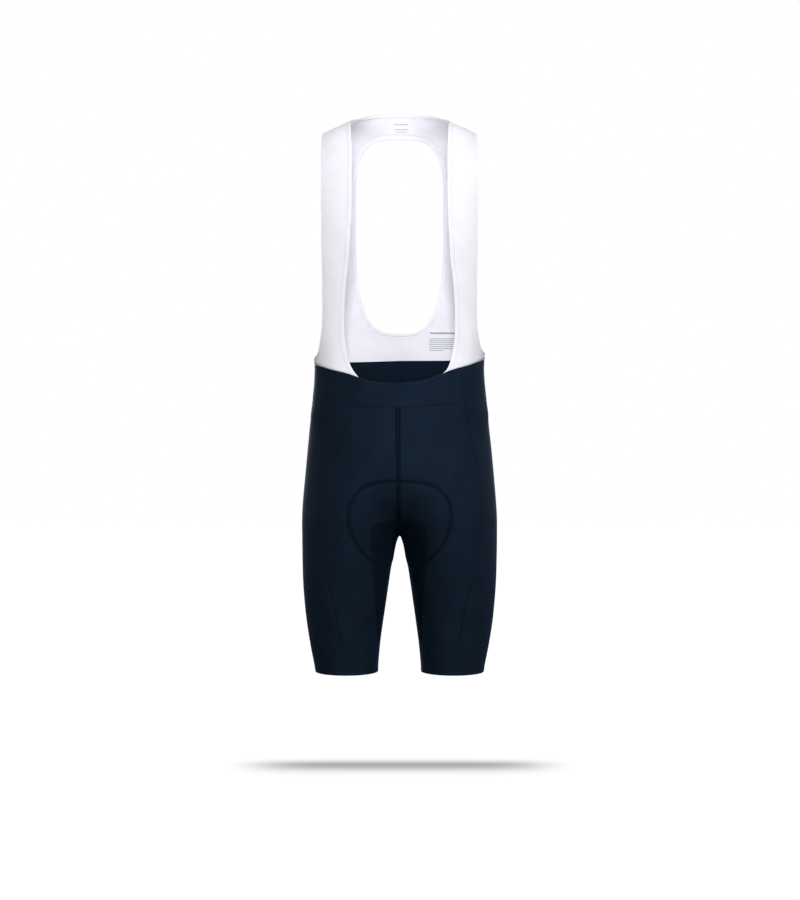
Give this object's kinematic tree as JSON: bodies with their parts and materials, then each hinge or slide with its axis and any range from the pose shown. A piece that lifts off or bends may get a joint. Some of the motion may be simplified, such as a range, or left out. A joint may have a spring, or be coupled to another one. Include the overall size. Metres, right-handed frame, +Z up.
{
  "type": "cycling bib shorts",
  "caption": "Cycling bib shorts: close-fitting navy shorts with gripper cuffs and a chamois pad, under a white bib with wide shoulder straps and an oval opening in its back.",
  "frame": {"origin": "midway between the straps, at the height where they cross the tops of the wearer's shoulders", "axes": "+Z up, from the cuffs to the shoulders; the garment's front faces -Y; +X is the wearer's left"},
  "size_m": [0.331, 0.2447, 0.9598],
  "materials": {
    "navy_knit": "smooth stretch knit with a low sheen",
    "white_mesh": "matt fine mesh knit",
    "pad_microfibre": "matt microfibre over foam"
  },
  "bodies": {
    "root": {"front_left": "navy_knit", "front_right": "navy_knit", "side_left": "navy_knit", "side_right": "navy_knit", "back_left": "navy_knit", "back_right": "navy_knit", "gusset": "navy_knit", "gripper_left": "navy_knit", "gripper_right": "navy_knit", "waistband_front": "navy_knit", "waistband_back": "navy_knit", "strap_left": "white_mesh", "strap_right": "white_mesh", "upper_back": "white_mesh", "chamois_pad": "pad_microfibre"}
  },
  "joints": []
}
